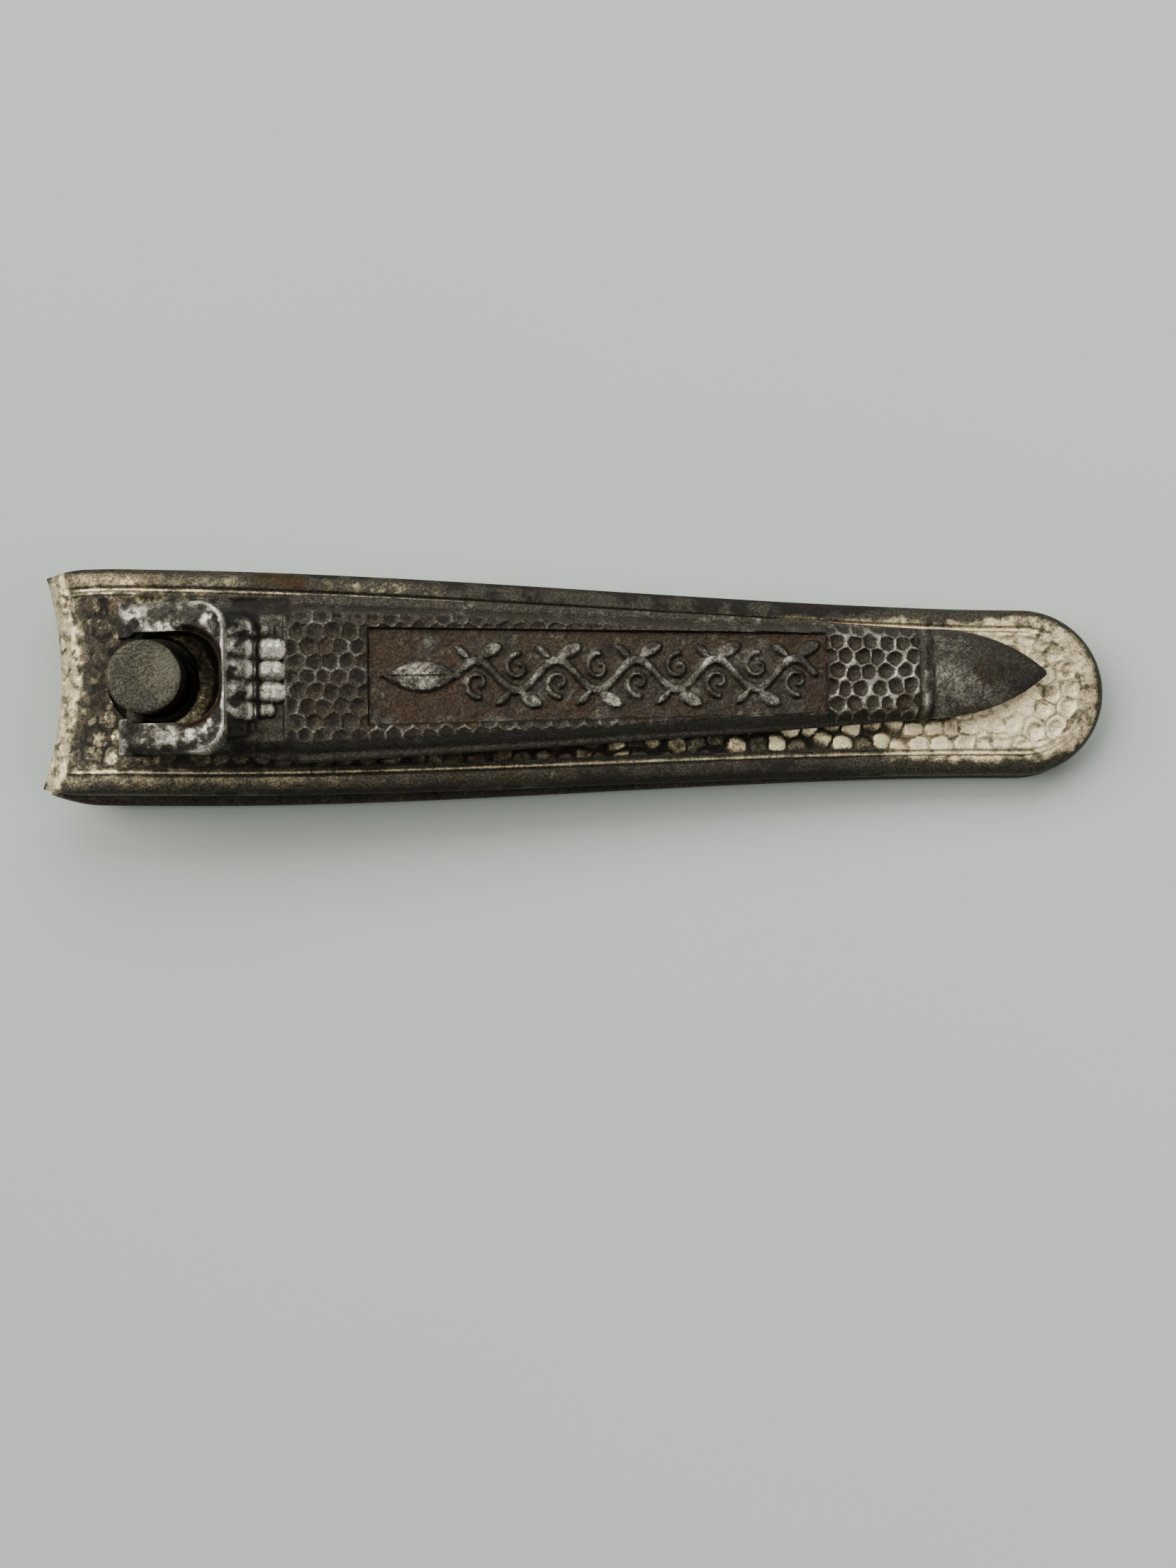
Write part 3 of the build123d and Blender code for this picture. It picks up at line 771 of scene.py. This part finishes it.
def lever_grid():
    """Plan positions of the lever's grid, whose lines follow its edges and steps."""
    step, tip_length = 0.078, 1.5
    turn = np.linspace(0, math.pi / 2, 12)
    pieces = [PIN_U - EAR_R * np.cos(turn)]
    breaks = (PIN_U, CREST_U, CROWN_U, BODY_U, PANEL_U, PANEL_U + 0.1, PANEL_END_U - 0.1, PANEL_END_U,
              BLOCK_END_U, RING_END_U, TIP_U - tip_length)
    for a, b in zip(breaks, breaks[1:]):
        pieces.append(np.linspace(a, b, max(2, round((b - a) / step)) + 1)[1:])
    pieces.append(TIP_U - tip_length + tip_length * np.sin(turn)[1:])
    u = np.concatenate(pieces)
    half = lever_half(u)
    wall = np.minimum(WALL, 0.3 * half)
    top = half - np.minimum(flange_width(u), 0.3 * half) - wall
    panel = np.minimum(np.minimum(panel_half(u), top - 0.02), 0.9 * top)
    step_half = 0.05 * (half > 1)
    stops = [np.zeros_like(u), panel - step_half, panel + step_half, top, top + wall, half]
    columns = [stops[0][:, None]]
    for a, b, count in zip(stops, stops[1:], (30, 2, 8, 8, 8)):
        share = np.linspace(0, 1, count + 1)[1:]
        if b is half:
            share = np.sin(share * math.pi / 2)
        columns.append(a[:, None] + np.outer(b - a, share))
    across = np.concatenate(columns, 1)
    across = np.concatenate([-across[:, :0:-1], across], 1)
    return np.repeat(u[:, None], across.shape[1], 1), across


def window_cutter():
    """The solid that cuts the rounded slot of the fork."""
    r, half = WINDOW_CORNER, WINDOW_HALF
    side = [(PIN_U - 3, half - 0.25), (-1.0, half - 0.25), (-0.75, half - 0.15), (-0.6, half)]
    side += [(WINDOW_END_U - r + r * math.sin(a), half - r + r * math.cos(a))
             for a in np.linspace(0, math.pi / 2, 14)]
    outline = side + [(x, -y) for x, y in reversed(side)]
    b = bmesh.new()
    base = b.faces.new([b.verts.new((x, y, -1)) for x, y in outline])
    lifted = bmesh.ops.extrude_face_region(b, geom=[base])["geom"]
    bmesh.ops.translate(b, vec=(0, 0, 7), verts=[g for g in lifted if isinstance(g, bmesh.types.BMVert)])
    return object_from("window", b, LEVER_PLACE)


def make_lever():
    u, v = lever_grid()
    under = lever_under(u, v)
    top = np.maximum(lever_top(u, v) + lever_detail(u, v)[0], under + 0.02)
    top[0] = under[0]
    upper, lower = (np.moveaxis(transform(np.stack([u, v, n], 2), LEVER_PLACE), 2, 0) for n in (top, under))
    item = sheet_solid("lever_stamping", upper, lower, end_wall=True)
    carve(item, window_cutter())
    r = PIN_R + PIN_GAP
    carve(item, lathe("bore", [(0, -6), (r, -6), (r, 6), (0, 6)], 48, PIN_PLACE))
    return item


def paint_lever(item):
    """Bare, dirty, rusty and scratched parts of the lever, with painted sheen, painted light and painted
    shade.
    """
    u, v, n = transform(points_of(item), LEVER_PLACE.inverted()).T
    _, honey, web, in_panel, pattern, nearest = lever_detail(u, v)
    d = lever_half(u) - np.abs(v)
    rough = fractal(u, v, 1.6, 101)
    fine = fractal(u, v, 0.5, 105)
    mottle = fine + 0.35 * rough
    soft = ease(-0.6, 0.5, mottle + 0.3 * fractal(u, v, 0.2, 109, 2))
    spots = ease(-0.25, 0.35, mottle)
    outside = block_distance(u, v)
    top = ease(0.5, 0.2, lever_top(u, v) - n)
    fork = ease(0.08, -0.02, outside) * top
    crest = hump(outside, -0.08, 0.22) * ease(1.4, 2.6, u)
    collar = ease(0.45, 0.25, window_distance(u, v)) * ease(1.4, 2.6, u) * fork * (1 - crest)
    bead = crown_lobes(u, v)
    off_lobes = np.abs(v - LOBES_MIDDLE_V)
    slope = ease(0, 0.1, outside) * ease(CROWN_U + 0.05, CROWN_U - 0.1, u) * ease(3.4, 3.0, off_lobes)
    lobe = slope_lobes(v)
    block = ease(PANEL_END_U, PANEL_END_U + 0.2, u) * ease(BLOCK_END_U + 0.1, BLOCK_END_U, u)
    ring = hump(u, (BLOCK_END_U + RING_END_U) / 2 - 0.05, 0.24)
    groove = hump(u, CROWN_U + 0.02, 0.2) + hump(u, RING_END_U, 0.15) + hump(u, BLOCK_END_U - 0.03, 0.12)
    flange = ease(BODY_U, BODY_U + 0.5, u) * ease(0.9, 0.5, d) * ease(41, 30, u)
    # A band along the sides just behind the crest, which is painted dark.
    side = ease(3.0, 3.6, np.abs(v)) * ease(CREST_U - 0.2, CREST_U + 0.4, u) * ease(BODY_U + 1.2, BODY_U, u)
    tip = ease(RING_END_U, RING_END_U + 0.3, u)
    spot = np.clip(1 - np.hypot((u - 44.4) / 1.5, (v - 0.1) / 0.9), 0, 1)
    stain, stain_core = ease(0, 0.5, spot), ease(0, 0.4, spot)

    wear_and_light = 0.1 + 0.18 * rough + 0.16 * fine
    wear_and_light += fork * (0.66 - 0.85 * soft) + 0.72 * crest + 0.56 * ease(0.12, 0.34, bead) - 0.55 * collar
    wear_and_light += slope * (0.55 * lobe * (1 - spots) + 0.8 * hump(outside, 0.92 + 0.3 * lobe, 0.32) * lobe - 0.05)
    wear_and_light += honey * (web * (0.22 + 0.24 * block) - 0.05) + pattern * (0.17 + 0.12 * fine)
    wear_and_light += 0.1 * in_panel * ease(0.2, 0.6, fractal(u, v, 0.35, 107, 2))
    wear_and_light += 0.4 * ring * ease(0, 0.5, d) * ease(-0.6, 0.4, fine)
    # The flange is painted a little lighter on the far side and less bare on the near side: painted light
    # and painted shade.
    wear_and_light += flange * (0.07 * ease(0, 1, v) - 0.06)
    # The tip is painted lighter near its root, a painted sheen, and less bare on the stain near the point.
    wear_and_light += tip * (0.19 * ease(45.5, 42, u + 0.8 * v) - 0.22 * stain)

    grime_and_shade = 0.25 + 0.32 * rough + 0.32 * fine
    grime_and_shade += honey * (1 - web) * (0.25 + 0.35 * ease(0.4, 0.15, nearest)) * (1 - 0.6 * block)
    grime_and_shade += in_panel * (1 - pattern) * (0.14 + 0.3 * fractal(u, v, 0.7, 113))
    grime_and_shade -= 0.5 * pattern + 0.25 * honey * web + 0.8 * crest + 0.9 * ease(0.15, 0.3, bead)
    grime_and_shade += slope * (spots * 0.5 + (1 - lobe) * 0.6) + fork * (0.75 * soft - 0.5)
    # Dirty grooves; the sides behind the crest are painted dark; the flange is painted darker on the near
    # side and lighter on the far side, as painted shade and painted light.
    grime_and_shade += 0.6 * groove * (1 - fork) + 0.7 * side + flange * (0.2 - 0.45 * ease(-1, 1, v))
    # The tip is painted darker toward the point and its far edge, and cleaner near the root, where the
    # painted sheen is.
    grime_and_shade += tip * (0.35 * ease(43, 46, u + 1.2 * v) - 0.2 * ease(45, 42, u))

    rust = 0.3 + 0.35 * fractal(u, v, 1.7, 111) + 0.7 * collar + 0.35 * honey * (1 - web)
    rust += 0.4 * in_panel * (1 - pattern) - 0.6 * pattern
    rust += 0.4 * (stain - flange - tip * (1 - stain_core))
    inside = 1 - top
    wear_and_light = wear_and_light * top + inside * (0.1 + 0.15 * rough)
    rust = rust * top + inside * 0.75
    grime_and_shade = grime_and_shade * top + inside * 0.4
    paint(item, wear_and_light, grime_and_shade, rust, 0.2 + 0.65 * tip)


# ---- post, pin and rivet
def make_post():
    """Turned post: a disc top with a worn edge, the shank, and the head under the lower arm."""
    under, head, top, r = POST_UNDER_N, POST_HEAD_R, POST_RISE, POST_R
    shoulder = under + POST_HEAD_T
    profile = [
        (0, under + 0.02), (1.6, under), (2.55, under + 0.03), (head, under + 0.16),
        (head, shoulder - 0.1), (head - 0.08, shoulder), (r, shoulder), (r, under + 1.2), (r, 0),
        (r, top - 0.75), (r - 0.03, top - 0.6), (r, top - 0.45), (r, top - 0.2),
        (r - 0.035, top - 0.09), (r - 0.11, top - 0.025), (r - 0.25, top),
    ]
    rings = 18
    profile += [((r - 0.25) * (1 - k / rings), top) for k in range(1, rings)] + [(0, top)]
    item = lathe("post_turned", profile, 160, POST_PLACE)
    p = transform(points_of(item), POST_PLACE.inverted())
    x, y, n = p.T
    worn = 0.03 * fractal(x, y, 1.2, 7) + 0.012 * fractal(x, y, 0.35, 9, 2)
    p[:, 2] += ease(top - 0.12, top - 0.02, n) * (worn - 0.03)
    item.data.vertices.foreach_set("co", (transform(p, POST_PLACE) * MM).ravel())
    rough = fractal(x, y, 1.1, 121)
    # The shank below the top is painted dark and less bare: painted shade inside the arm's hole and under
    # the lever.
    side = ease(top - 0.2, top - 0.5, n) * ease(-1.0, 0.0, n)
    wear_and_light, grime_and_shade = 0.5 + 0.45 * rough - 0.6 * side, 0.22 + 0.35 * rough + 0.8 * side
    paint(item, wear_and_light, grime_and_shade, 0.35 + 0.3 * rough, np.full(len(p), 0.85))
    return item


def make_pin():
    r, h = PIN_R, PIN_HALF
    profile = [(0, -h), (0.3, -h + 0.02), (r - 0.04, -h + 0.07), (r, -h + 0.14), (r, 0),
               (r, h - 0.14), (r - 0.04, h - 0.07), (0.3, h - 0.02), (0, h)]
    return lathe("lever_pin_turned", profile, 48, PIN_PLACE)


def make_rivet():
    top, t, r = 2 * STRIP, RIVET_HEAD_T, RIVET_HEAD_R
    profile = [(0, 0.02), (0.6, 0.01), (r - 0.08, 0.02), (r, 0.1), (r, t), (RIVET_R, t), (RIVET_R, STRIP),
               (RIVET_R, top - t), (r, top - t), (r, top - 0.1), (r - 0.08, top - 0.02), (0.6, top - 0.005),
               (0, top)]
    return lathe("tail_rivet_turned", profile, 48, RIVET_PLACE)


# ---- materials
class Tree:
    """Short calls for building a material's nodes."""

    def __init__(self, name):
        self.material = bpy.data.materials.new(name)
        self.material.use_nodes = True
        self.tree = self.material.node_tree
        self.shader = self.tree.nodes["Principled BSDF"]
        self.coordinates = self.scaled((1000, 1000, 1000))

    def node(self, kind, inputs=None, **settings):
        """A node with these settings, and with these of its inputs linked or set."""
        made = self.tree.nodes.new(kind)
        for key, value in settings.items():
            setattr(made, key, value)
        for key, value in (inputs or {}).items():
            self.feed(made.inputs[key], value)
        return made

    def feed(self, socket, value):
        """Links a socket to the value, or sets it."""
        if isinstance(value, bpy.types.NodeSocket):
            self.tree.links.new(value, socket)
        else:
            socket.default_value = value

    def surface(self, **values):
        """Sets the shader's inputs, named with _ for each space."""
        for name, value in values.items():
            self.feed(self.shader.inputs[name.replace("_", " ")], value)

    def scaled(self, scale, turn=0.0):
        """Object coordinates in millimetres, turned, and stretched by the scale over 1000."""
        inputs = {"Vector": self.node("ShaderNodeTexCoord").outputs["Object"]}
        if turn:
            inputs["Rotation"] = (0, 0, turn)
            scale = tuple(1 / s for s in scale)
        inputs["Scale"] = scale
        return self.node("ShaderNodeMapping", inputs, vector_type="TEXTURE" if turn else "POINT").outputs[0]

    def math(self, operation, a, b):
        return self.node("ShaderNodeMath", {0: a, 1: b}, operation=operation).outputs[0]

    def plus(self, a, b):
        return self.math("ADD", a, b)

    def minus(self, a, b):
        return self.math("SUBTRACT", a, b)

    def times(self, a, b):
        return self.math("MULTIPLY", a, b)

    def noise(self, scale, detail, roughness, where=None):
        inputs = {"Vector": where or self.coordinates}
        inputs.update(Scale=scale, Detail=detail, Roughness=roughness)
        return self.node("ShaderNodeTexNoise", inputs).outputs["Fac"]

    def ramp(self, value, low, high, from_value=0.0, to_value=1.0):
        """Maps low..high to from_value..to_value, smooth and clamped."""
        inputs = {"Value": value, "From Min": low, "From Max": high}
        inputs.update({"To Min": from_value, "To Max": to_value})
        return self.node("ShaderNodeMapRange", inputs, interpolation_type="SMOOTHSTEP").outputs[0]

    def mix(self, share, a, b):
        """Colour a, or b where the share is 1."""
        return self.node("ShaderNodeMix", {0: share, 6: a, 7: b}, data_type="RGBA").outputs[2]

    def mix_number(self, share, a, b):
        """The number a, or b where the share is 1."""
        return self.node("ShaderNodeMix", {0: share, 2: a, 3: b}, data_type="FLOAT").outputs[0]

    def tint(self, colour, factor):
        """The colour times a number."""
        return self.node("ShaderNodeVectorMath", {0: colour, "Scale": factor}, operation="SCALE").outputs[0]

    def tone(self):
        """The painted layer's four parts."""
        layer = self.node("ShaderNodeAttribute", attribute_name="tone").outputs
        parts = self.node("ShaderNodeSeparateColor", {"Color": layer["Color"]}).outputs
        return parts[0], parts[1], parts[2], layer["Alpha"]

    def bump(self, height, distance, strength):
        inputs = {"Height": height, "Distance": distance, "Strength": strength}
        return self.node("ShaderNodeBump", inputs).outputs["Normal"]


def rgb(r, g, b):
    return (r, g, b, 1.0)


def darker(colour, factor):
    return rgb(*(factor * c for c in colour[:3]))


def worn_plate(name, bare, tarnish, grime_and_shade_colour, rust_colour):
    """Worn plating over steel: bare metal, tarnish, packed dirt and rust, laid out by the tone layer. The
    bare metal also paints highlights and the dark dirt colour also paints shade.
    """
    m = Tree(name)
    wear_and_light, grime_and_shade, rust, scratch = m.tone()
    coarse = m.noise(0.9, 6, 0.62)
    grain = m.noise(4.0, 6, 0.75)
    speck = m.noise(16.0, 3, 0.6)
    grit = m.noise(7.5, 4, 0.72)
    strokes = m.noise(1.0, 4, 0.65, m.scaled((900, 16000, 6000), 0.55))
    strokes = m.times(m.ramp(strokes, 0.45, 0.68), scratch)
    grain_swing = m.minus(grain, 0.5)
    # the borders of the worn, dirty and rusty places, and of the painted highlights and shade, are ragged
    ragged = m.minus(m.plus(m.times(coarse, 0.45), m.times(grain, 0.55)), 0.5)
    wear_and_light_edge = m.plus(wear_and_light, m.times(ragged, m.mix_number(scratch, 1.85, 0.7)))
    wear_and_light_edge = m.plus(wear_and_light_edge, m.times(strokes, 0.22))
    thin_share = m.ramp(wear_and_light_edge, 0.12, 0.62)
    bare_share = m.ramp(wear_and_light_edge, 0.42, 1.0)
    grime_and_shade_edge = m.plus(grime_and_shade, m.times(grain_swing, m.mix_number(scratch, 2.1, 1.0)))
    grime_and_shade_share = m.ramp(grime_and_shade_edge, 0.4, 0.85)
    rust_share = m.ramp(m.plus(rust, m.times(grain_swing, 1.6)), 0.35, 0.95)

    thin = rgb(*(0.252 * b**1.15 + t for b, t in zip(bare[:3], tarnish[:3])))
    ground = m.mix(m.ramp(speck, 0.35, 0.65), darker(tarnish, 0.4), tarnish)
    ground = m.mix(rust_share, ground, rust_colour)
    pale = m.mix(m.ramp(speck, 0.35, 0.6), darker(bare, 0.72), bare)
    colour = m.mix(bare_share, m.mix(thin_share, ground, thin), pale)
    # the near-black dirt colour, which also paints the shade
    colour = m.mix(m.times(grime_and_shade_share, 0.92), colour, grime_and_shade_colour)
    coarse_shade, bare_shade = m.ramp(grit, 0.38, 0.64, 0.45, 1.5), m.ramp(grit, 0.38, 0.5, 0.75, 1.0)
    rough = m.plus(m.mix_number(bare_share, 0.46, 0.28), m.times(m.minus(speck, 0.5), 0.3))
    height = m.plus(grain, m.times(speck, 0.2))
    height = m.plus(height, m.times(strokes, 0.15))
    height = m.plus(height, m.times(grit, m.mix_number(bare_share, 0.5, 0.1)))
    height = m.minus(height, m.times(grime_and_shade_share, 0.12))
    m.surface(
        Base_Color=m.tint(colour, m.mix_number(bare_share, coarse_shade, bare_shade)),
        Metallic=m.mix_number(grime_and_shade_share, m.mix_number(thin_share, 0.75, 1.0), 0.1),
        Specular_IOR_Level=m.mix_number(grime_and_shade_share, 0.5, 0.25),
        Roughness=m.mix_number(grime_and_shade_share, rough, 0.78),
        Normal=m.bump(height, 0.00008, 0.6),
    )
    return m.material


def floor_material():
    m = Tree("pale_table")
    colour = m.mix(m.noise(0.02, 2, 0.5), rgb(0.405, 0.445, 0.405), rgb(0.43, 0.47, 0.43))
    normal = m.bump(m.noise(3.0, 3, 0.5), 0.00001, 0.3)
    m.surface(Base_Color=colour, Roughness=0.65, Specular_IOR_Level=0.25, Normal=normal)
    return m.material


def dress(item, material):
    item.data.materials.clear()
    item.data.materials.append(material)


# ---- assembly
upper_shape, lower_shape = arm_shapes()
plate = worn_plate("worn_plate", bare=rgb(0.77, 0.64, 0.40), tarnish=rgb(0.052, 0.046, 0.031),
                   grime_and_shade_colour=rgb(0.0068, 0.005, 0.003), rust_colour=rgb(0.032, 0.016, 0.0042))
lever_plate = worn_plate("lever_plate", bare=rgb(0.73, 0.70, 0.61), tarnish=rgb(0.05, 0.043, 0.031),
                         grime_and_shade_colour=rgb(0.0072, 0.0052, 0.0032), rust_colour=rgb(0.034, 0.0195, 0.009))
post_steel = worn_plate("post_steel", bare=rgb(0.105, 0.1, 0.072), tarnish=rgb(0.05, 0.046, 0.034),
                        grime_and_shade_colour=rgb(0.0075, 0.006, 0.004), rust_colour=rgb(0.045, 0.032, 0.018))

upper_arm = make_upper_arm(upper_shape)
paint_arm(upper_arm, upper_shape, True)
lower_arm = make_lower_arm(lower_shape)
paint_arm(lower_arm, lower_shape, False)
lever = make_lever()
paint_lever(lever)
post = make_post()
pin = make_pin()
rivet = make_rivet()
for turned in (pin, rivet):
    count = len(turned.data.vertices)
    paint(turned, np.full(count, 0.3), np.full(count, 0.35), np.full(count, 0.4))
for item in (upper_arm, lower_arm, lever, post, pin, rivet):
    smooth_shade(item)

dress(upper_arm, plate)
dress(lower_arm, plate)
dress(lever, lever_plate)
dress(post, post_steel)
dress(pin, post_steel)
dress(rivet, post_steel)

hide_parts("upper_arm")
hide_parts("lower_arm")
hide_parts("lever")
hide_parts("post")
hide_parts("lever_pin")
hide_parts("tail_rivet")
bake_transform(upper_arm)
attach(lower_arm, "lower_arm")
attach(rivet, "lower_arm")
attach(lever, "lever")
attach(post, "post")
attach(pin, "post")

# ---- floor, light and camera
FLOOR_HALF, FLOOR_Z = 900, -0.01
corners = [(x * FLOOR_HALF, y * FLOOR_HALF, FLOOR_Z) for x, y in ((-1, -1), (1, -1), (1, 1), (-1, 1))]
floor = new_object("floor", corners, [(0, 1, 2, 3)])
floor.data.materials.append(floor_material())


def add_light(name, kind, strength, colour):
    data = bpy.data.lights.new(name, kind)
    data.energy = strength
    data.color = colour
    return add_object(name, data)


def area_light(name, at, size, power, colour):
    """A rectangular light that shines at the origin."""
    item = add_light(name, "AREA", power, colour)
    item.data.shape = "RECTANGLE"
    item.data.size, item.data.size_y = size
    item.location = at
    item.rotation_euler = Vector(at).to_track_quat("Z", "Y").to_euler()


def sun_light(name, toward, spread, strength, colour):
    """A distant light in the direction toward, this many degrees across."""
    item = add_light(name, "SUN", strength, colour)
    item.data.angle = math.radians(spread)
    item.rotation_euler = Vector(toward).to_track_quat("Z", "Y").to_euler()


def studio_world(low, high):
    """Pale surroundings, this bright at the horizon and overhead."""
    world = bpy.data.worlds.new("studio")
    world.use_nodes = True
    tree = world.node_tree
    split = tree.nodes.new("ShaderNodeSeparateXYZ")
    fade = tree.nodes.new("ShaderNodeMapRange")
    tree.links.new(tree.nodes.new("ShaderNodeTexCoord").outputs["Generated"], split.inputs[0])
    tree.links.new(split.outputs["Z"], fade.inputs["Value"])
    for name, number in (("From Min", 0.05), ("From Max", 0.6), ("To Min", low), ("To Max", high)):
        fade.inputs[name].default_value = number
    background = tree.nodes["Background"]
    background.inputs["Color"].default_value = (0.8, 0.82, 0.79, 1)
    tree.links.new(fade.outputs["Result"], background.inputs["Strength"])
    return world


sun_light("left", (-0.26, 0.10, 0.26), 48, 4.0, (1.0, 0.985, 0.955))
area_light("far", (0.02, 0.23, 0.25), (0.34, 0.2), 1.2, (0.98, 1.0, 0.98))
area_light("right", (0.28, -0.05, 0.24), (0.22, 0.22), 0.45, (1.0, 1.0, 0.98))
bpy.context.scene.world = studio_world(0.4, 0.12)

# The eye, the point looked at and the roll were fitted to the photo's view of the part.
EYE = Vector((0.113, -8.667, 103.66)) * MM
LOOKED_AT = Vector((0.499, -5.038, 0)) * MM
ROLL = math.radians(-0.3)
camera = add_object("camera", bpy.data.cameras.new("camera"))
camera.data.lens = 42.95
camera.data.sensor_width = 36
camera.data.clip_start = 0.001
back = (EYE - LOOKED_AT).normalized()
right = Vector((math.sin(ROLL), math.cos(ROLL), 0)).cross(back).normalized()
axes = Matrix((right, back.cross(right), back)).transposed()
camera.matrix_world = Matrix.Translation(EYE) @ axes.to_4x4()
bpy.context.scene.camera = camera
